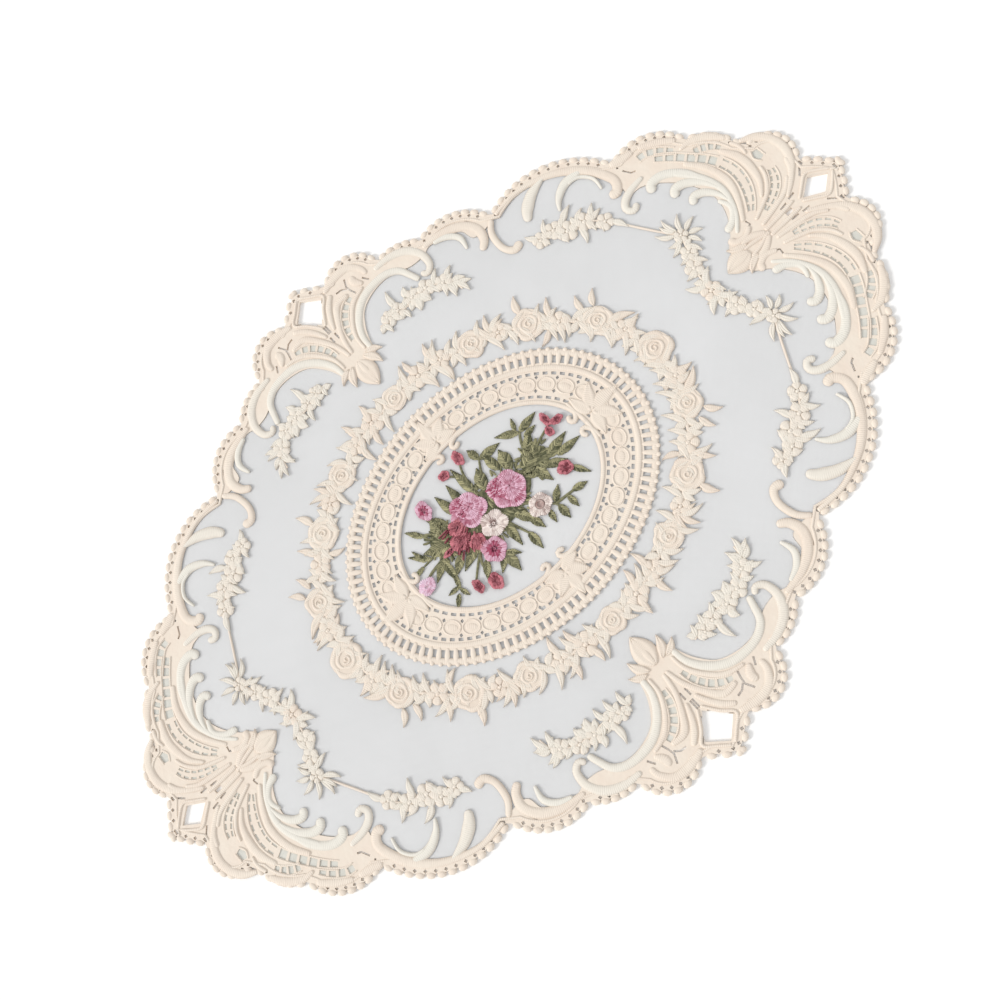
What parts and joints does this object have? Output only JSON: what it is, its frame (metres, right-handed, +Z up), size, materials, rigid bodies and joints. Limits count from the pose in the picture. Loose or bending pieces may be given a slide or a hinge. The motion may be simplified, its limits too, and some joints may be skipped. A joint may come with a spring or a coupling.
{
  "type": "lace placemat",
  "caption": "Sheer oval placemat with a scalloped openwork lace border, an oval lace ring, a rose wreath, flower sprays and a coloured rose bouquet; lies flat under a plate",
  "frame": {"origin": "on the supporting surface, under the middle of the mat", "axes": "+X along the mat's length, +Y along its width, +Z up out of the worked face"},
  "size_m": [0.452, 0.315, 0.0029],
  "materials": {
    "organza": "sheer grey-white organza with a faint sheen",
    "lace_thread": "cream and peach satin-stitched thread, soft sheen",
    "olive_thread": "olive green embroidery thread in split stitches",
    "pink_thread": "shaded pink embroidery thread",
    "red_thread": "deep red embroidery thread",
    "pale_thread": "pale cream and blush embroidery thread"
  },
  "bodies": {
    "root": {"sheer_ground": "organza", "lace_border": "lace_thread", "oval_ring": "lace_thread", "rose_wreath": "lace_thread", "spray_top_right": "lace_thread", "spray_top_left": "lace_thread", "spray_bottom_left": "lace_thread", "spray_bottom_right": "lace_thread", "garland_right": "lace_thread", "garland_left": "lace_thread", "bouquet_foliage": "olive_thread", "bouquet_rose_left": "pink_thread", "bouquet_rose_right": "pink_thread", "bouquet_cream_flower": "pale_thread", "bouquet_deep_petals": "red_thread", "bouquet_pink_flower": "pink_thread", "bouquet_pink_bud": "pink_thread", "bouquet_eyelet_flower": "pale_thread", "bouquet_pale_flower": "pale_thread", "bouquet_red_cluster": "red_thread", "bouquet_red_bud_right": "red_thread", "bouquet_red_bud_top_left": "red_thread", "bouquet_red_bud_top_right": "red_thread", "bouquet_red_bud_low_left": "red_thread", "bouquet_red_bud_low": "red_thread"}
  },
  "joints": []
}
